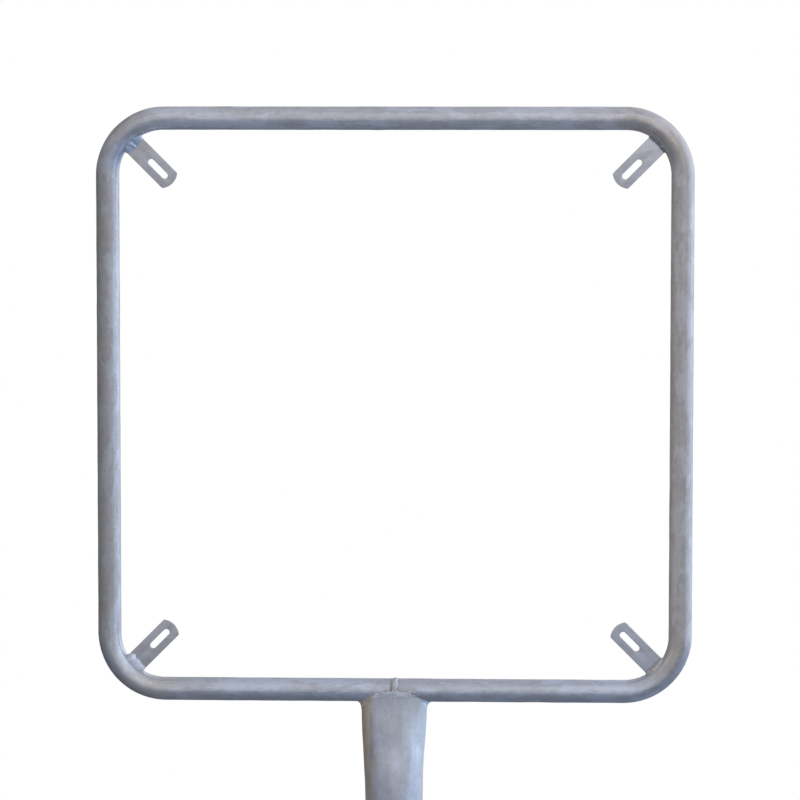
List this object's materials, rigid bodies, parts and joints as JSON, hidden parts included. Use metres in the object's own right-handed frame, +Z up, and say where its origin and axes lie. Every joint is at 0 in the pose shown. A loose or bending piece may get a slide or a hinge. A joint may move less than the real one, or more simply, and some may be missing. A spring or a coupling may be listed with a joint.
{
  "type": "signpost frame",
  "caption": "Galvanised tube signpost: a round post carries a square ring of bent tube with slotted corner tabs for a square sign.",
  "frame": {"origin": "middle of the post's foot, on its axis", "axes": "+Z up along the post, X across the sign, -Y the way the sign's face looks"},
  "size_m": [0.922, 0.0888, 3.5],
  "materials": {
    "galvanised_tube": "weathered hot-dip zinc, mottled grey with faint streaks along the tube",
    "galvanised_plate": "weathered hot-dip zinc, even dull grey",
    "galvanised_weld": "zinc over weld ripples, brighter on the crests and dark in the crevices"
  },
  "bodies": {
    "root": {"frame_ring": "galvanised_tube", "ring_butt_weld": "galvanised_weld", "tab_top_left": "galvanised_plate", "tab_top_right": "galvanised_plate", "tab_bottom_left": "galvanised_plate", "tab_bottom_right": "galvanised_plate", "weld_top_left": "galvanised_weld", "weld_top_right": "galvanised_weld", "weld_bottom_left": "galvanised_weld", "weld_bottom_right": "galvanised_weld", "post": "galvanised_tube", "post_weld": "galvanised_weld"}
  },
  "joints": []
}
